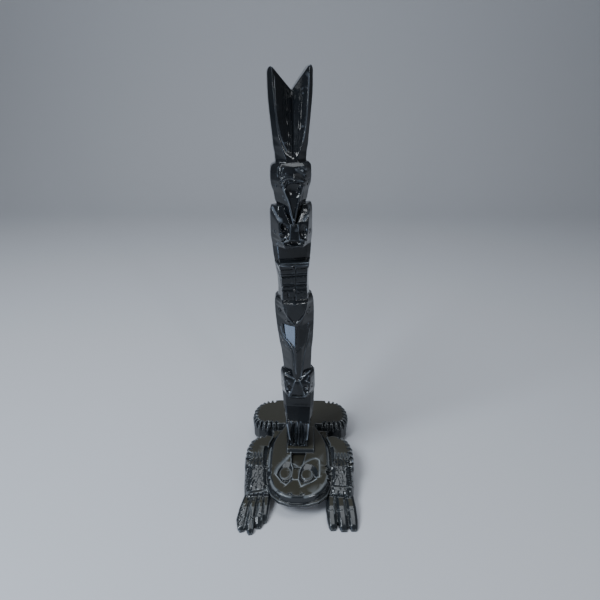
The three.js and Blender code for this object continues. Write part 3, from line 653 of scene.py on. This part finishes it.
# the legs that it stands on, with a painted highlight down the shins and along the grooves
gouge(pole, [(-12, 0.4, 59), (-11, -1.2, 53.4), (-9, -1.7, 40.3)], 1.6, 0.5, rubbed=0.9)
gouge(pole, [(10.2, -0.4, 60), (9.9, -1.6, 53.9), (8.9, -2.8, 42)], 2.2, 0.5, rubbed=0.9)
for route, width, depth in [
    ([(-7.9, 1.5, 62), (-7, 1.8, 48), (-6.5, 0.6, 34)], 2, 0.9),
    ([(2, 1.1, 62), (3.1, 1.3, 48.6), (2.6, 0.7, 34)], 2, 0.9),
    ([(-1.4, 1, 62), (-0.6, -0.6, 50.3), (-0.6, -0.5, 34.6)], 1, 0.5),
    ([(-8.5, -1.6, 40.2), (-8.8, -2, 33)], 1.3, 0.7),
    ([(6.8, -2.5, 41.3), (6.3, -1.8, 33)], 1.3, 0.7),
]:
    gouge(pole, route, width, depth, rubbed=0.6)

cut_away(pole)
sand(pole)
show_highlight_lines(pole)
pole.data.materials.clear()
pole.data.materials.append(lacquer(
    "pole_lacquer",
    # painted sheen: a lighter top colour on the upward faces
    sheen_top_colour=(0.010, 0.012, 0.014, 1),
    side_colour=(0.005, 0.0065, 0.0085, 1),
    # painted highlight: a light blue-grey on the edges and the cut lines
    highlight_colour=(0.21, 0.24, 0.28, 1),
    edge_highlight=0.16,
    side_rough=0.14,
    top_rough=0.2,
))
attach(pole, "root")
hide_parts("totem_pole")


# A pale sheet of matt card that lies under the carving, runs forward past the camera and
# sweeps up behind in one round bend.
bpy.ops.object.select_all(action="DESELECT")
bpy.ops.mesh.primitive_plane_add(size=1, location=(0, 0, 0))
card = bpy.context.active_object
card.name = "pale_card"
card.scale = (8, 4, 1)
bpy.ops.object.transform_apply(location=False, rotation=False, scale=True)
bpy.ops.object.mode_set(mode="EDIT")
bpy.ops.mesh.select_all(action="SELECT")
bpy.ops.transform.translate(value=(0, -0.9, 0))
bpy.ops.mesh.select_all(action="DESELECT")
bpy.ops.object.mode_set(mode="OBJECT")
for edge in card.data.edges:
    edge.select = all(card.data.vertices[end].co.y > 0 for end in edge.vertices)
bpy.ops.object.mode_set(mode="EDIT")
bpy.ops.mesh.select_mode(type="EDGE")
bend_steps = 10
bend_step = 0.09
wall_height = 3
for step in range(bend_steps):
    turn = math.radians(90 * (step + 0.5) / bend_steps)
    bpy.ops.mesh.extrude_region_move(
        TRANSFORM_OT_translate={"value": (0, bend_step * math.cos(turn), bend_step * math.sin(turn))},
    )
bpy.ops.mesh.extrude_region_move(TRANSFORM_OT_translate={"value": (0, 0, wall_height)})
bpy.ops.object.mode_set(mode="OBJECT")
bpy.ops.object.shade_smooth()
paper = bpy.data.materials.new("pale_card")
paper.use_nodes = True
paper_shader = paper.node_tree.nodes["Principled BSDF"]
paper_shader.inputs["Base Color"].default_value = (0.50, 0.51, 0.54, 1)
paper_shader.inputs["Roughness"].default_value = 0.8
card.data.materials.append(paper)


# Cool light from five soft panels: a wide window high at the left, a small blue one low down
# that the middle bird's breast mirrors, narrow strips in front at the left and the right, and
# the widest overhead. The grey of the room fills the rest.
def panel(name, place, aim, width, height, power, colour):
    """An oblong soft light in metres and watts, turned to face its aim."""
    bpy.ops.object.select_all(action="DESELECT")
    towards = Vector(aim) - Vector(place)
    bpy.ops.object.light_add(
        type="AREA", location=place, rotation=towards.to_track_quat("-Z", "Y").to_euler(),
    )
    light = bpy.context.active_object
    light.name = name
    light.data.shape = "RECTANGLE"
    light.data.size = width
    light.data.size_y = height
    light.data.energy = power
    light.data.color = colour


panel("window_light", (-0.75, -0.6, 1.25), (0, 0, 0.15), 0.6, 0.6, 22, (0.84, 0.92, 1.0))
panel("low_light", (-0.353, -0.346, 0.08), (-0.008, 0.005, 0.165), 0.13, 0.08, 0.32, (0.50, 0.68, 1.0))
panel("front_light", (-0.35, -1.0, 0.5), (0, 0, 0.2), 0.1, 0.2, 1.2, (0.92, 0.96, 1.0))
panel("right_light", (0.645, -1.01, 0.55), (0, 0, 0.28), 0.08, 0.3, 1.7, (0.92, 0.96, 1.0))
panel("top_light", (0, 0, 1.5), (0, 0, 0), 1.2, 0.6, 9, (0.90, 0.95, 1.0))
room = bpy.context.scene.world or bpy.data.worlds.new("room")
bpy.context.scene.world = room
room.use_nodes = True
room_grey = room.node_tree.nodes["Background"]
room_grey.inputs["Color"].default_value = (0.14, 0.145, 0.155, 1)
room_grey.inputs["Strength"].default_value = 1.0
